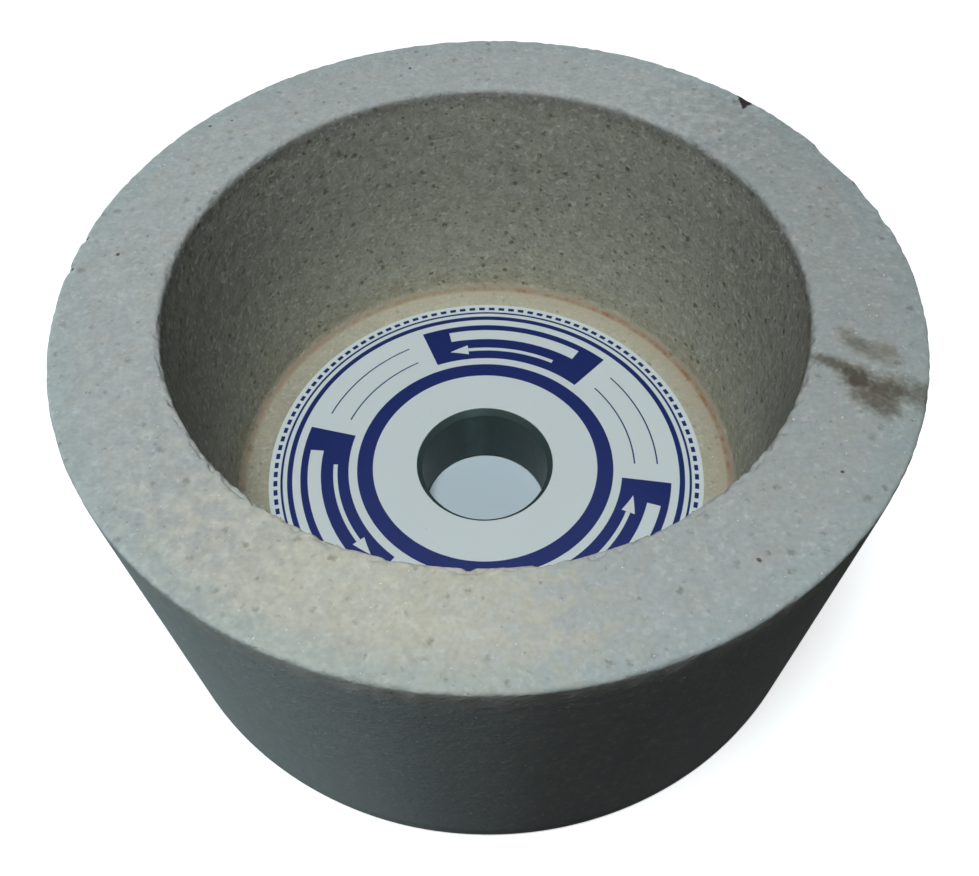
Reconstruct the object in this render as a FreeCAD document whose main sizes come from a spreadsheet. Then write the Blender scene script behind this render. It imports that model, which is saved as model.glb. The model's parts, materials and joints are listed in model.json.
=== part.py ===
import FreeCAD, Part
import Sketcher
import os

# Straight cup grinding wheel: a vitrified white cup, the bush cast in its arbor hole
# and the paper label on the cup's floor.
# The back face stands on Z = 0, the wheel turns about Z and the cup opens upwards.
# Lengths are in millimetres and angles in degrees.

PARTS_FOLDER = "parts"
ON_POINT_TOLERANCE = 1e-4

# Points of a sketch's line or circle, and the sketch's own origin and horizontal axis.
START, END, CENTRE = 1, 2, 3
ORIGIN = X_AXIS = -1

# Each row is an alias, its value and what it measures.
DRIVING_SIZES = [
    ("outer_diameter", 101.6, "outside of the cup"),
    ("overall_height", 50.8, "back face to grinding rim"),
    ("rim_width", 12.7, "wall at the grinding rim"),
    ("back_thickness", 12.0, "floor of the cup"),
    ("wall_draft", 1.6, "lean of the inner wall, so that the mould lets go"),
    ("floor_corner_radius", 1.5, "between the floor and the inner wall"),
    ("rim_outer_round", 0.5, "outer edge of the rim"),
    ("rim_inner_round", 0.8, "inner edge of the rim"),
    ("base_round", 0.8, "outer edge of the back face"),
    ("bore_diameter", 19.05, "hole for the spindle"),
    ("bush_wall", 2.5, "bush around the bore"),
    ("bush_mouth_chamfer", 0.75, "bush, on the cup's side"),
    ("bush_back_chamfer", 0.4, "bush, on the back face"),
    ("label_thickness", 0.3, "paper and glue"),
    ("label_hole_gap", 0.05, "label hole outside the chamfer of the bush"),
    ("label_edge_gap", 2.8, "bare floor between the label and the corner round"),
    ("chip_turn", 42.2, "place of the chip, about the axis from +X"),
    ("chip_bite", 0.45, "chip past the rounded outer edge of the rim"),
]

# Sizes that follow from the ones above.
DERIVED_SIZES = [
    ("outer_radius", "=outer_diameter / 2", "outside of the cup"),
    ("rim_inner_radius", "=outer_radius - rim_width", "mouth of the cup"),
    (
        "floor_radius",
        "=rim_inner_radius - (overall_height - back_thickness) * tan(wall_draft * 1 deg)",
        "where the inner wall would meet the floor",
    ),
    (
        "flat_floor_radius",
        "=floor_radius - floor_corner_radius * tan(45 deg - wall_draft / 2 * 1 deg)",
        "where the corner round begins",
    ),
    ("bore_radius", "=bore_diameter / 2", "hole for the spindle"),
    ("bush_radius", "=bore_radius + bush_wall", "outside of the bush and arbor hole of the cup"),
    ("label_radius", "=flat_floor_radius - label_edge_gap", "edge of the label"),
    ("label_hole_radius", "=bore_radius + bush_mouth_chamfer + label_hole_gap", "hole in the label"),
    ("chip_radius", "=rim_outer_round + chip_bite", "chip from the edge before its rounding"),
]

document = FreeCAD.newDocument("straight_cup_wheel")


def make_sheet():
    """The sheet of sizes: values and formulas, each with its alias and a note."""
    sheet = document.addObject("Spreadsheet::Sheet", "sizes")
    rows = [(alias, str(value), note) for alias, value, note in DRIVING_SIZES] + DERIVED_SIZES
    for number, (alias, content, note) in enumerate(rows, start=1):
        sheet.set("A%d" % number, alias)
        sheet.set("B%d" % number, content)
        sheet.setAlias("B%d" % number, alias)
        sheet.set("C%d" % number, note)
    document.recompute()
    return sheet


def size_of(alias):
    """The present value of one size."""
    return float(getattr(sizes, alias))


def make_body(node):
    """An empty body whose label is the name of the piece."""
    body = document.addObject("PartDesign::Body", node)
    body.Label = node
    body.Placement = FreeCAD.Placement()
    return body


def origin_plane(body, role):
    """One of the body's own origin planes."""
    return next(feature for feature in body.Origin.OriginFeatures if feature.Role == role)


def make_sketch(body, name, role):
    """A sketch on one of the body's origin planes."""
    sketch = body.newObject("Sketcher::SketchObject", name)
    sketch.AttachmentSupport = [(origin_plane(body, role), "")]
    sketch.MapMode = "FlatFace"
    return sketch


def bind(sketch, kind, where, value, expression):
    """Adds a driving constraint and ties it to the sheet."""
    number = sketch.addConstraint(Sketcher.Constraint(kind, *where, value))
    sketch.setExpression("Constraints[%d]" % number, expression)


def add_closed_outline(sketch, corners):
    """Straight sides from corner to corner, joined end to start."""
    points = [FreeCAD.Vector(radius, height, 0) for radius, height in corners]
    for start, end in zip(points, points[1:] + points[:1]):
        sketch.addGeometry(Part.LineSegment(start, end), False)
    count = len(points)
    for side in range(count):
        sketch.addConstraint(Sketcher.Constraint("Coincident", side, END, (side + 1) % count, START))


def revolve(body, sketch, name):
    """A full turn of the sketch about its vertical axis, which is the wheel's axis."""
    turned = body.newObject("PartDesign::Revolution", name)
    turned.Profile = sketch
    turned.ReferenceAxis = (sketch, ["V_Axis"])
    turned.Angle = 360
    sketch.Visibility = False
    document.recompute()
    return turned


def circle_edge(feature, radius, height):
    """The name of the feature's round edge of this radius at this height."""
    for number, edge in enumerate(feature.Shape.Edges, start=1):
        if not isinstance(edge.Curve, Part.Circle):
            continue
        same_radius = abs(edge.Curve.Radius - radius) < ON_POINT_TOLERANCE
        same_height = abs(edge.Curve.Center.z - height) < ON_POINT_TOLERANCE
        if same_radius and same_height:
            return "Edge%d" % number
    raise RuntimeError("no round edge of radius %.3f at height %.3f" % (radius, height))


def dress_edge(body, kind, name, radius, height, expression):
    """A fillet or a chamfer on one round edge of the body as it stands."""
    base = body.Tip
    dressed = body.newObject("PartDesign::" + kind, name)
    dressed.Base = (base, [circle_edge(base, radius, height)])
    dressed.setExpression("Radius" if kind == "Fillet" else "Size", expression)
    document.recompute()


def cut_edge_chip(body):
    """The chip: a ball centred on the outer edge of the rim is taken away."""
    chip = body.newObject("PartDesign::SubtractiveSphere", "edge_chip")
    chip.AttachmentSupport = [(origin_plane(body, "XY_Plane"), "")]
    chip.MapMode = "FlatFace"
    chip.setExpression("Radius", "sizes.chip_radius")
    chip.setExpression(".AttachmentOffset.Base.x", "sizes.outer_radius * cos(sizes.chip_turn * 1 deg)")
    chip.setExpression(".AttachmentOffset.Base.y", "sizes.outer_radius * sin(sizes.chip_turn * 1 deg)")
    chip.setExpression(".AttachmentOffset.Base.z", "sizes.overall_height")
    document.recompute()


def make_abrasive_cup():
    """The cup: its section turned about the axis, with rounded edges and a chip in the rim."""
    body = make_body("abrasive_cup")
    sketch = make_sketch(body, "cup_section", "XZ_Plane")
    height = size_of("overall_height")
    floor = size_of("back_thickness")
    add_closed_outline(
        sketch,
        [
            (size_of("bush_radius"), 0),
            (size_of("outer_radius"), 0),
            (size_of("outer_radius"), height),
            (size_of("rim_inner_radius"), height),
            (size_of("floor_radius"), floor),
            (size_of("bush_radius"), floor),
        ],
    )
    base_side, outer_side, rim_side, inner_side, floor_side, hole_side = range(6)
    for side in (base_side, rim_side, floor_side):
        sketch.addConstraint(Sketcher.Constraint("Horizontal", side))
    for side in (outer_side, hole_side):
        sketch.addConstraint(Sketcher.Constraint("Vertical", side))
    sketch.addConstraint(Sketcher.Constraint("PointOnObject", base_side, START, X_AXIS))
    bind(sketch, "DistanceX", (ORIGIN, START, base_side, START), size_of("bush_radius"), "sizes.bush_radius")
    bind(sketch, "DistanceX", (ORIGIN, START, base_side, END), size_of("outer_radius"), "sizes.outer_radius")
    bind(sketch, "DistanceY", (outer_side, START, outer_side, END), height, "sizes.overall_height")
    bind(sketch, "DistanceX", (rim_side, END, rim_side, START), size_of("rim_width"), "sizes.rim_width")
    bind(sketch, "DistanceY", (hole_side, END, hole_side, START), floor, "sizes.back_thickness")
    bind(sketch, "DistanceX", (ORIGIN, START, inner_side, END), size_of("floor_radius"), "sizes.floor_radius")
    revolve(body, sketch, "cup_turned")

    outer = size_of("outer_radius")
    mouth = size_of("rim_inner_radius")
    dress_edge(body, "Fillet", "floor_corner", size_of("floor_radius"), floor, "sizes.floor_corner_radius")
    dress_edge(body, "Fillet", "rim_outer_edge", outer, height, "sizes.rim_outer_round")
    dress_edge(body, "Fillet", "rim_inner_edge", mouth, height, "sizes.rim_inner_round")
    dress_edge(body, "Fillet", "base_edge", outer, 0, "sizes.base_round")
    cut_edge_chip(body)
    return body


def make_bore_bush():
    """The bush: a plain sleeve through the back of the cup, chamfered at both mouths."""
    body = make_body("bore_bush")
    sketch = make_sketch(body, "bush_section", "XZ_Plane")
    bore = size_of("bore_radius")
    outside = size_of("bush_radius")
    length = size_of("back_thickness")
    add_closed_outline(sketch, [(bore, 0), (outside, 0), (outside, length), (bore, length)])
    back_side, outer_side, mouth_side, bore_side = range(4)
    for side in (back_side, mouth_side):
        sketch.addConstraint(Sketcher.Constraint("Horizontal", side))
    for side in (outer_side, bore_side):
        sketch.addConstraint(Sketcher.Constraint("Vertical", side))
    sketch.addConstraint(Sketcher.Constraint("PointOnObject", back_side, START, X_AXIS))
    bind(sketch, "DistanceX", (ORIGIN, START, back_side, START), bore, "sizes.bore_radius")
    bind(sketch, "DistanceX", (ORIGIN, START, back_side, END), outside, "sizes.bush_radius")
    bind(sketch, "DistanceY", (outer_side, START, outer_side, END), length, "sizes.back_thickness")
    revolve(body, sketch, "bush_turned")
    dress_edge(body, "Chamfer", "mouth_chamfer", bore, length, "sizes.bush_mouth_chamfer")
    dress_edge(body, "Chamfer", "back_chamfer", bore, 0, "sizes.bush_back_chamfer")
    return body


def make_paper_label():
    """The label: a paper ring that lies on the floor of the cup and the face of the bush."""
    body = make_body("paper_label")
    sketch = make_sketch(body, "label_outline", "XY_Plane")
    sketch.setExpression(".AttachmentOffset.Base.z", "sizes.back_thickness")
    middle = FreeCAD.Vector(0, 0, 0)
    upwards = FreeCAD.Vector(0, 0, 1)
    rings = [("label_radius", "sizes.label_radius"), ("label_hole_radius", "sizes.label_hole_radius")]
    for ring, (alias, expression) in enumerate(rings):
        sketch.addGeometry(Part.Circle(middle, upwards, size_of(alias)), False)
        sketch.addConstraint(Sketcher.Constraint("Coincident", ring, CENTRE, ORIGIN, START))
        bind(sketch, "Radius", (ring,), size_of(alias), expression)
    pad = body.newObject("PartDesign::Pad", "label_sheet")
    pad.Profile = sketch
    pad.setExpression("Length", "sizes.label_thickness")
    sketch.Visibility = False
    document.recompute()
    return body


def check_document():
    """Stops on any object that failed to build."""
    for thing in document.Objects:
        if "Invalid" in thing.State or "Error" in thing.State:
            raise RuntimeError("%s failed: %s" % (thing.Name, thing.State))


def check_piece(body):
    """Stops unless the piece is one valid solid."""
    shape = body.Shape
    if shape.isNull() or not shape.isValid() or len(shape.Solids) != 1:
        raise RuntimeError("%s is not one valid solid" % body.Label)
    print("%s: volume %.1f mm3, %d faces" % (body.Label, shape.Volume, len(shape.Faces)))


sizes = make_sheet()
pieces = [make_abrasive_cup(), make_bore_bush(), make_paper_label()]
document.recompute()
check_document()
for piece in pieces:
    check_piece(piece)
os.makedirs(PARTS_FOLDER, exist_ok=True)
for piece in pieces:
    piece.Shape.exportStep(os.path.join(PARTS_FOLDER, piece.Label + ".step"))
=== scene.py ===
"""Straight cup grinding wheel: the looks of its abrasive cup, bore bush and paper label.

Each piece is a surface worked out from a few sizes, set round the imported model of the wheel.
Lengths are in metres. The back face stands on z = 0, the wheel's axis is z and the cup opens upwards.
"""

import json
import math

import bpy
import numpy as np
from bpy.props import FloatProperty, FloatVectorProperty, IntProperty, PointerProperty
from mathutils import Matrix, Vector


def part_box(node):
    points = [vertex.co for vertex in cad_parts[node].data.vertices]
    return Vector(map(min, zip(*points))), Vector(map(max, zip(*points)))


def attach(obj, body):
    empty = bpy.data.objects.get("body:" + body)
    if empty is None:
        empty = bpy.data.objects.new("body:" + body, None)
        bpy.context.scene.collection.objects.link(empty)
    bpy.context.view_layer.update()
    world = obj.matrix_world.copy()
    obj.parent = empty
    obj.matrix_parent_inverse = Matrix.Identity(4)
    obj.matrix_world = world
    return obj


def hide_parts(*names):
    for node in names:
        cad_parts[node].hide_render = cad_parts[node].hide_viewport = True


bl_info = {
    "name": "Straight Cup Grinding Wheel",
    "version": (1, 0, 0),
    "blender": (4, 5, 0),
    "location": "View3D > Sidebar > Cup Wheel",
    "description": "Builds the surfaces, finishes, light and camera of a straight cup grinding wheel",
    "category": "Object",
}

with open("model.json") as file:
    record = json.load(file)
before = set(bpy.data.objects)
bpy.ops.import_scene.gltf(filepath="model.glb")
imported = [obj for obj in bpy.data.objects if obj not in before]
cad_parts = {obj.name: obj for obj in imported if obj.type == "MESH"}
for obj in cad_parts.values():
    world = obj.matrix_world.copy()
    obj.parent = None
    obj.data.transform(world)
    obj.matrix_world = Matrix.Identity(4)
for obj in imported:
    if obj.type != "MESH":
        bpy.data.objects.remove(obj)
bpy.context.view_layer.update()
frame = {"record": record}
CUP_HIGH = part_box("abrasive_cup")[1]
BUSH_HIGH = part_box("bore_bush")[1]
LABEL_LOW, LABEL_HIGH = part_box("paper_label")
MOUNTS = {mount["name"]: mount for mount in frame["record"]["mounts"]}
BORE_RADIUS = MOUNTS["spindle_bore"]["dims"]["r_mm"] / 1000

MM = 0.001
IMAGE_WIDTH, IMAGE_HEIGHT = 979, 876
FULL_TURN = 2 * math.pi


class CupSettings(bpy.types.PropertyGroup):
    """Sizes and colours of the abrasive cup."""

    radius: FloatProperty(name="Radius", description="Outside of the cup", default=CUP_HIGH[0], unit="LENGTH")
    height: FloatProperty(
        name="Height", description="Back face to grinding rim", default=CUP_HIGH[2], unit="LENGTH"
    )
    rim_width: FloatProperty(
        name="Rim Width", description="Wall at the grinding rim", default=12.7 * MM, unit="LENGTH"
    )
    floor_height: FloatProperty(
        name="Floor Height",
        description="Floor of the cup above its back",
        default=LABEL_LOW[2],
        unit="LENGTH",
    )
    hole_radius: FloatProperty(
        name="Hole Radius", description="Hole that holds the bush", default=BUSH_HIGH[0], unit="LENGTH"
    )
    draft: FloatProperty(
        name="Draft", description="Lean of the inner wall", default=math.radians(1.6), subtype="ANGLE"
    )
    corner_round: FloatProperty(
        name="Corner Round", description="Between floor and wall", default=1.5 * MM, unit="LENGTH"
    )
    rim_outer_round: FloatProperty(
        name="Rim Outer Round", description="Outer edge of the rim", default=0.6 * MM, unit="LENGTH"
    )
    rim_inner_round: FloatProperty(
        name="Rim Inner Round", description="Inner edge of the rim", default=0.8 * MM, unit="LENGTH"
    )
    base_round: FloatProperty(
        name="Base Round", description="Outer edge of the back", default=0.8 * MM, unit="LENGTH"
    )
    chip_turn: FloatProperty(
        name="Chip Turn", description="Place of the chip from +X", default=math.radians(42.2), subtype="ANGLE"
    )
    chip_radius: FloatProperty(
        name="Chip Radius", description="Ball that the chip follows", default=1.6 * MM, unit="LENGTH"
    )
    chip_rise: FloatProperty(
        name="Chip Rise", description="Its centre above the rim", default=1.25 * MM, unit="LENGTH"
    )
    chip_inset: FloatProperty(
        name="Chip Inset", description="Its centre from the outside", default=0.9 * MM, unit="LENGTH"
    )
    columns: IntProperty(name="Columns", description="Steps around the axis", default=760)
    # Partly painted light: the front of the rim takes this paler, creamier colour.
    colour: FloatVectorProperty(
        name="Colour",
        description="Clean grain of the rim",
        default=(0.59, 0.56, 0.487),
        subtype="COLOR",
        size=3,
    )
    dusty_colour: FloatVectorProperty(
        name="Dusty Colour",
        description="Greyer grain",
        default=(0.468, 0.476, 0.472),
        subtype="COLOR",
        size=3,
    )
    side_colour: FloatVectorProperty(
        name="Side Colour", description="Outer wall", default=(0.375, 0.387, 0.374), subtype="COLOR", size=3
    )
    # Painted shade: the upper wall is darker than the wall near the floor and than the rim.
    wall_colour: FloatVectorProperty(
        name="Wall Colour",
        description="Upper inner wall",
        default=(0.38, 0.375, 0.32),
        subtype="COLOR",
        size=3,
    )
    low_wall_colour: FloatVectorProperty(
        name="Low Wall Colour",
        description="Inner wall near the floor",
        default=(0.48, 0.46, 0.375),
        subtype="COLOR",
        size=3,
    )
    floor_colour: FloatVectorProperty(
        name="Floor Colour",
        description="Floor of the cup",
        default=(0.472, 0.437, 0.348),
        subtype="COLOR",
        size=3,
    )
    # Painted shade in the pores.
    pore_shade_colour: FloatVectorProperty(
        name="Pore Colour",
        description="Depth of the pores",
        default=(0.165, 0.15, 0.10),
        subtype="COLOR",
        size=3,
    )
    stain_colour: FloatVectorProperty(
        name="Stain Colour",
        description="Darkest part of the stains",
        default=(0.082, 0.058, 0.036),
        subtype="COLOR",
        size=3,
    )
    rust_colour: FloatVectorProperty(
        name="Rust Colour",
        description="Stained ring in the corner",
        default=(0.33, 0.17, 0.10),
        subtype="COLOR",
        size=3,
    )


class BushSettings(bpy.types.PropertyGroup):
    """Sizes and colour of the bush in the bore."""

    bore_radius: FloatProperty(
        name="Bore Radius", description="Hole for the spindle", default=BORE_RADIUS, unit="LENGTH"
    )
    mouth_chamfer: FloatProperty(
        name="Mouth Chamfer", description="On the cup's side", default=0.75 * MM, unit="LENGTH"
    )
    back_chamfer: FloatProperty(
        name="Back Chamfer", description="On the back face", default=0.4 * MM, unit="LENGTH"
    )
    edge_round: FloatProperty(
        name="Edge Round", description="Softening of each edge", default=0.06 * MM, unit="LENGTH"
    )
    columns: IntProperty(name="Columns", description="Steps around the axis", default=256)
    colour: FloatVectorProperty(
        name="Colour", description="Cast bush", default=(0.052, 0.085, 0.085), subtype="COLOR", size=3
    )


class LabelSettings(bpy.types.PropertyGroup):
    """Sizes and colours of the paper label."""

    hole_radius: FloatProperty(
        name="Hole Radius", description="Hole over the bush", default=10.325 * MM, unit="LENGTH"
    )
    edge_round: FloatProperty(
        name="Edge Round", description="Softening of the cut edge", default=0.07 * MM, unit="LENGTH"
    )
    columns: IntProperty(name="Columns", description="Steps around the axis", default=384)
    paper_colour: FloatVectorProperty(
        name="Paper Colour", description="Coated paper", default=(0.71, 0.757, 0.776), subtype="COLOR", size=3
    )
    ink_colour: FloatVectorProperty(
        name="Ink Colour", description="Navy print", default=(0.010, 0.022, 0.140), subtype="COLOR", size=3
    )


class StageSettings(bpy.types.PropertyGroup):
    """The floor, the light and the camera."""

    floor_size: FloatProperty(name="Floor Size", description="Side of the floor", default=6.0, unit="LENGTH")
    floor_colour: FloatVectorProperty(
        name="Floor Colour", description="Pale floor", default=(0.75, 0.76, 0.77), subtype="COLOR", size=3
    )
    key_power: FloatProperty(
        name="Key Power", description="Lamp high over the front left", default=1.15, unit="POWER"
    )
    card_power: FloatProperty(name="Card Power", description="Each low side lamp", default=0.50, unit="POWER")
    fill_strength: FloatProperty(name="Fill Strength", description="Light from all round", default=0.015)
    camera_distance: FloatProperty(
        name="Camera Distance", description="In front of the axis", default=80.441 * MM, unit="LENGTH"
    )
    camera_height: FloatProperty(
        name="Camera Height", description="Above the floor", default=130.338 * MM, unit="LENGTH"
    )
    camera_pitch: FloatProperty(
        name="Camera Pitch", description="Downward tilt", default=math.radians(53.886), subtype="ANGLE"
    )
    camera_yaw: FloatProperty(
        name="Camera Yaw", description="Turn to the right", default=math.radians(-2.441), subtype="ANGLE"
    )
    camera_roll: FloatProperty(
        name="Camera Roll", description="Turn about the view", default=math.radians(-2.968), subtype="ANGLE"
    )
    focal_pixels: FloatProperty(name="Focal Length", description="In pixels of the photo", default=939.93)
    centre_x: FloatProperty(
        name="Centre X", description="Optical centre, pixels from the left", default=460.54
    )
    centre_y: FloatProperty(
        name="Centre Y", description="Optical centre, pixels from the top", default=432.33
    )


# Repeatable randomness on a lattice of cells

PRIMES = (73856093, 19349663, 83492791, 2654435761)
SCRAMBLE = 0x45D9F3B
WORD = 0xFFFFFFFF


def cell_random(cells, channel):
    """A random number from 0 to 1 for each whole-number cell, the same on every run.

    The cell's three numbers and the channel are multiplied by large primes, joined bit by bit
    and scrambled twice.
    """
    whole = cells.astype(np.int64)
    key = (channel + 1) * PRIMES[3]
    for axis in range(3):
        key = key ^ (whole[..., axis] * PRIMES[axis])
    key = key & WORD
    for _ in range(2):
        key = ((key ^ (key >> 16)) * SCRAMBLE) & WORD
    return (key ^ (key >> 16)) / WORD


def soft_noise(points, size, channel):
    """Smooth noise from 0 to 1 with lumps of about the given size.

    The eight corners of a point's cell each have a random value. They are blended by the
    smooth step 3t^2 - 2t^3 of the point's place in the cell, along each axis.
    """
    scaled = points / size
    base = np.floor(scaled)
    part = scaled - base
    part = part * part * (3 - 2 * part)
    total = np.zeros(points.shape[:-1])
    for corner in np.ndindex(2, 2, 2):
        weight = np.prod(np.where(corner, part, 1 - part), axis=-1)
        total += weight * cell_random(base + corner, channel)
    return total


def lumps(points, size, depth, channel):
    """Soft noise as a depth in metres."""
    return soft_noise(points, size, channel) * depth


def pits(points, spacing, reach, share, channel):
    """Rounded pits from 0 to 1: one in some of the cells of a lattice.

    A pit's depth is (1 - (d / reach)^2)^2 at the distance d from its centre, which lies at
    random in its cell, and its reach varies from pit to pit.
    """
    scaled = points / spacing
    base = np.floor(scaled)
    deepest = np.zeros(points.shape[:-1])
    for neighbour in np.ndindex(3, 3, 3):
        cell = base + neighbour - 1
        centre = cell + np.stack([cell_random(cell, channel + axis) for axis in range(3)], axis=-1)
        distance = np.linalg.norm(scaled - centre, axis=-1) * spacing
        own_reach = reach * (0.6 + 0.8 * cell_random(cell, channel + 3))
        depth = np.clip(1 - (distance / own_reach) ** 2, 0, 1) ** 2
        depth *= cell_random(cell, channel + 4) < share
        deepest = np.maximum(deepest, depth)
    return deepest


# Turned surfaces


def rounded_outline(corners):
    """A closed outline through the axis, as an array of (radius, height).

    Each corner is (radius, height, round, steps of its arc, steps of the side after it). An arc
    of radius r in a corner whose sides meet at the angle a touches them r / tan(a / 2) from the
    corner, and its centre is r / sin(a / 2) from it, along the line that halves the angle.
    """
    places = np.array([corner[:2] for corner in corners])
    rounds = np.array([corner[2] for corner in corners])
    ahead = np.roll(places, -1, axis=0) - places
    ahead /= np.linalg.norm(ahead, axis=1, keepdims=True)
    behind = -np.roll(ahead, 1, axis=0)
    half_angle = np.arccos(np.clip(np.sum(ahead * behind, axis=1), -1, 1)) / 2
    reach = (rounds / np.tan(half_angle))[:, None]
    arrive = places + behind * reach
    leave = places + ahead * reach
    middle = ahead + behind
    middle /= np.linalg.norm(middle, axis=1, keepdims=True)
    centres = places + middle * (rounds / np.sin(half_angle))[:, None]
    pieces = []
    for number, (*_, arc_steps, side_steps) in enumerate(corners):
        start = arrive[number] - centres[number]
        end = leave[number] - centres[number]
        sweep = math.pi - 2 * half_angle[number]
        t = np.linspace(0, 1, arc_steps + 1)[:, None]
        arc = (np.sin((1 - t) * sweep) * start + np.sin(t * sweep) * end) / math.sin(sweep)
        pieces.append(centres[number] + arc)
        following = arrive[(number + 1) % len(corners)]
        steps = np.linspace(0, 1, side_steps + 1)[1:-1, None]
        pieces.append(leave[number] * (1 - steps) + following * steps)
    return np.concatenate(pieces)


def outline_normals(outline):
    """The outward normal at each point of an outline that runs with the solid on its left.

    It is the step from the point before to the point after, turned a quarter to the right.
    """
    along = np.roll(outline, -1, axis=0) - np.roll(outline, 1, axis=0)
    normals = np.stack([along[:, 1], -along[:, 0]], axis=1)
    return normals / np.linalg.norm(normals, axis=1, keepdims=True)


def turned(outline, columns):
    """The outline carried round the axis: (radius cos a, radius sin a, height) at each angle a."""
    angle = np.arange(columns) * FULL_TURN / columns
    radius, height = outline[:, :1], outline[:, 1:]
    return np.stack(
        [radius * np.cos(angle), radius * np.sin(angle), np.broadcast_to(height, (len(outline), columns))],
        axis=-1,
    )


def closed_mesh(name, points):
    """A mesh of four-sided faces on a grid of points that closes on itself both ways."""
    rows, columns = points.shape[:2]
    number = np.arange(rows * columns).reshape(rows, columns)
    across = np.roll(number, -1, axis=1)
    faces = np.stack([number, across, np.roll(across, -1, axis=0), np.roll(number, -1, axis=0)], axis=-1)
    mesh = bpy.data.meshes.new(name)
    mesh.from_pydata(points.reshape(-1, 3), [], faces.reshape(-1, 4))
    mesh.shade_smooth()
    mesh.update()
    return mesh


def show_piece(name, mesh, material, node):
    """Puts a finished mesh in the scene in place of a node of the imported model."""
    mesh.materials.append(material)
    piece = bpy.data.objects.new(name, mesh)
    bpy.context.scene.collection.objects.link(piece)
    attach(piece, "root")
    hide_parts(node)
    return piece


# Shaders


class Flow:
    """A socket of a shader. Arithmetic on it adds Math nodes, and plain numbers mix in."""

    def __init__(self, finish, socket):
        self.finish = finish
        self.socket = socket

    def math(self, operation, *others):
        return self.finish.node("ShaderNodeMath", {"operation": operation}, dict(enumerate((self, *others))))

    def turned_math(self, operation, first):
        return self.finish.node("ShaderNodeMath", {"operation": operation}, {0: first, 1: self})

    def __add__(self, other):
        return self.math("ADD", other)

    def __sub__(self, other):
        return self.math("SUBTRACT", other)

    def __mul__(self, other):
        return self.math("MULTIPLY", other)

    def __truediv__(self, other):
        return self.math("DIVIDE", other)

    def __rsub__(self, other):
        return self.turned_math("SUBTRACT", other)

    __radd__ = __add__
    __rmul__ = __mul__

    def rise(self, low, high):
        """0 below low, 1 above high and a smooth step between them."""
        return self.finish.node(
            "ShaderNodeMapRange",
            {"interpolation_type": "SMOOTHSTEP"},
            {"Value": self, "From Min": low, "From Max": high},
        )

    def fall(self, low, high):
        """1 below low, 0 above high and a smooth step between them."""
        return 1 - self.rise(low, high)


class Finish:
    """One material, with its nodes."""

    def __init__(self, name):
        self.material = bpy.data.materials.new(name)
        self.material.use_nodes = True
        self.tree = self.material.node_tree
        self.tree.nodes.clear()

    def node(self, kind, settings, inputs, output=0):
        """A node of this kind: its settings first, then the values or links of its sockets."""
        node = self.tree.nodes.new(kind)
        for name, value in settings.items():
            setattr(node, name, value)
        for name, value in inputs.items():
            if isinstance(value, Flow):
                self.tree.links.new(value.socket, node.inputs[name])
            else:
                node.inputs[name].default_value = value
        return Flow(self, node.outputs[output]) if node.outputs else None

    def place(self):
        """The place on the object, in metres."""
        return self.node("ShaderNodeTexCoord", {}, {}, "Object")

    def parts_of(self, vector):
        """The three numbers of a vector or a colour."""
        first = self.node("ShaderNodeSeparateXYZ", {}, {0: vector})
        return [Flow(self, output) for output in first.socket.node.outputs]

    def stretched(self, vector, scale):
        """A vector with each of its numbers multiplied."""
        return self.node("ShaderNodeVectorMath", {"operation": "MULTIPLY"}, {0: vector, 1: scale})

    def shifted(self, vector, step):
        """A vector with the same number added to each of its parts."""
        return self.node("ShaderNodeVectorMath", {"operation": "ADD"}, {0: vector, 1: (step,) * 3})

    def noise(self, vector, size, detail=2.0, roughness=0.5):
        """Cloudy noise from 0 to 1, with lumps of about this size."""
        return self.node(
            "ShaderNodeTexNoise",
            {},
            {"Vector": vector, "Scale": 1 / size, "Detail": detail, "Roughness": roughness},
        )

    def cells(self, vector, size):
        """The distance to the nearest of many scattered points, in metres, and two random numbers."""
        distance = self.node("ShaderNodeTexVoronoi", {}, {"Vector": vector, "Scale": 1 / size}, "Distance")
        colour = Flow(self, distance.socket.node.outputs["Color"])
        first, second, _ = self.parts_of(colour)
        return distance * size, first, second

    def mix(self, factor, first, second, blend="MIX"):
        """Two colours mixed by a number from 0 to 1."""
        return self.node(
            "ShaderNodeMix",
            {"data_type": "RGBA", "blend_type": blend},
            {0: factor, 6: first, 7: second},
            2,
        )

    def shaded(self, colour, factor):
        """A colour multiplied by a number."""
        grey = self.node("ShaderNodeCombineXYZ", {}, {0: factor, 1: factor, 2: factor})
        return self.node("ShaderNodeVectorMath", {"operation": "MULTIPLY"}, {0: colour, 1: grey})

    def bumped(self, height):
        """The normal of a surface raised by a height in metres."""
        return self.node("ShaderNodeBump", {}, {"Strength": 1.0, "Distance": 1.0, "Height": height})

    def close(self, inputs):
        """The surface itself, from the sockets given."""
        surface = self.node("ShaderNodeBsdfPrincipled", {}, inputs)
        self.node("ShaderNodeOutputMaterial", {}, {"Surface": surface})
        return self.material


def opaque(colour):
    """A colour property with its fourth number."""
    return (*colour, 1.0)


# Abrasive cup

CUP_CORNER_ROUND = 0.1 * MM

# Lumps in its relief: their size, their depth and the channel of their random numbers.
CUP_WAVE = (12 * MM, 0.04 * MM, 1)
CUP_LUMPS = (1.9 * MM, 0.04 * MM, 2)
CUP_GRAIN = (0.8 * MM, 0.03 * MM, 3)

# Pits in it: their spacing, reach, share of the cells and channel, and then their depth.
WALL_PITS, WALL_PIT_DEPTH = (1.6 * MM, 0.55 * MM, 0.7, 10), 0.16 * MM
RIM_PITS, RIM_PIT_DEPTH = (2.6 * MM, 0.45 * MM, 0.5, 20), 0.10 * MM

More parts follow.
